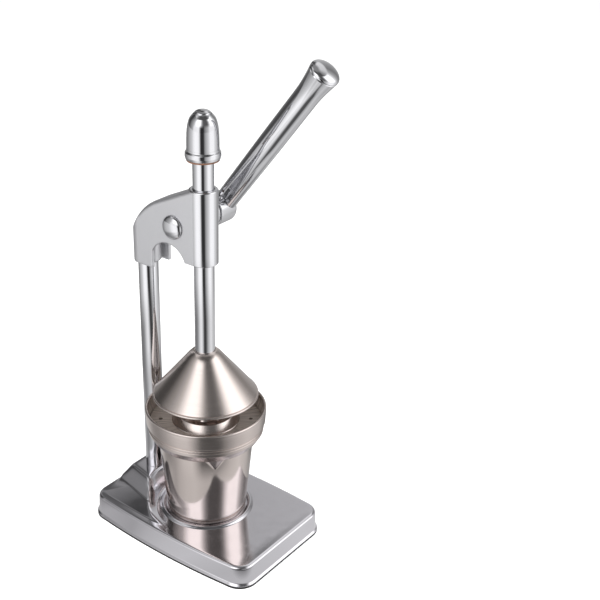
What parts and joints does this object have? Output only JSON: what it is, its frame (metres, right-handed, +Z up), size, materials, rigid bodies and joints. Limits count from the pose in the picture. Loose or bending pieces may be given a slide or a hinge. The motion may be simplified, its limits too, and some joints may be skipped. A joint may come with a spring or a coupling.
{
  "type": "lever citrus juice press",
  "caption": "Hand lever juice press: a post and cast head on a pressed base guide a rack driven ram with a pressing cone over a cup, strainer and reamer.",
  "frame": {"origin": "on the ground under the middle of the base", "axes": "+Z up, -Y towards the front where the cup stands, +X towards the lever"},
  "size_m": [0.125, 0.1798, 0.4188],
  "materials": {
    "polished_steel": "polished pressed stainless steel",
    "rubber": "black rubber",
    "chrome": "bright chrome plating",
    "satin_casting": "satin chromed casting",
    "satin_steel": "satin spun stainless steel",
    "dark_steel": "dull perforated steel",
    "bronze": "sintered bronze",
    "zinc_steel": "zinc plated",
    "gear_steel": "machined steel",
    "washer_plastic": "brown fibre washer"
  },
  "bodies": {
    "frame": {"base_pan": "polished_steel", "edge_trim": "rubber", "post": "chrome", "post_backing_plate": "zinc_steel", "post_washer": "zinc_steel", "post_nut": "zinc_steel", "head_casting": "satin_casting", "head_set_screws": "zinc_steel", "guide_bush_upper": "bronze", "guide_bush_lower": "bronze", "shaft_bush_left": "bronze", "shaft_bush_right": "bronze"},
    "ram": {"ram_rack": "chrome", "ram_cap": "chrome", "cap_screw": "zinc_steel", "cap_button": "chrome", "stop_washer": "washer_plastic", "presser_cone": "satin_steel", "presser_screw": "zinc_steel"},
    "lever": {"lever_shaft": "gear_steel", "pinion_gear": "gear_steel", "pinion_key": "gear_steel", "shaft_cap": "chrome", "lever_arm": "chrome", "handle_end_cap": "chrome", "hub_set_screw": "zinc_steel"},
    "cup": {"cup": "satin_steel"},
    "strainer": {"strainer_bowl": "satin_steel", "strainer_plate": "dark_steel"},
    "reamer": {"reamer": "polished_steel"}
  },
  "joints": [
    {"name": "lever_hinge", "type": "hinge", "parent": "frame", "child": "lever", "pos_m": [0, 0.0212, 0.2835], "axis": [-1, 0, 0], "range_deg": [-80, 130]},
    {"name": "ram_slide", "type": "slide", "parent": "frame", "child": "ram", "axis": [0, 0, 1], "range_m": [-0.0224, 0.0364]},
    {"name": "cup_turn", "type": "hinge", "parent": "frame", "child": "cup", "pos_m": [0, -0.0014, 0], "axis": [0, 0, 1], "continuous": true},
    {"name": "strainer_turn", "type": "hinge", "parent": "cup", "child": "strainer", "pos_m": [0, -0.0014, 0], "axis": [0, 0, 1], "continuous": true},
    {"name": "reamer_turn", "type": "hinge", "parent": "strainer", "child": "reamer", "pos_m": [0, -0.0014, 0], "axis": [0, 0, 1], "continuous": true}
  ],
  "couplings": [
    {"joint": "ram_slide", "follows": "lever_hinge", "m_per_rad": 0.016}
  ]
}
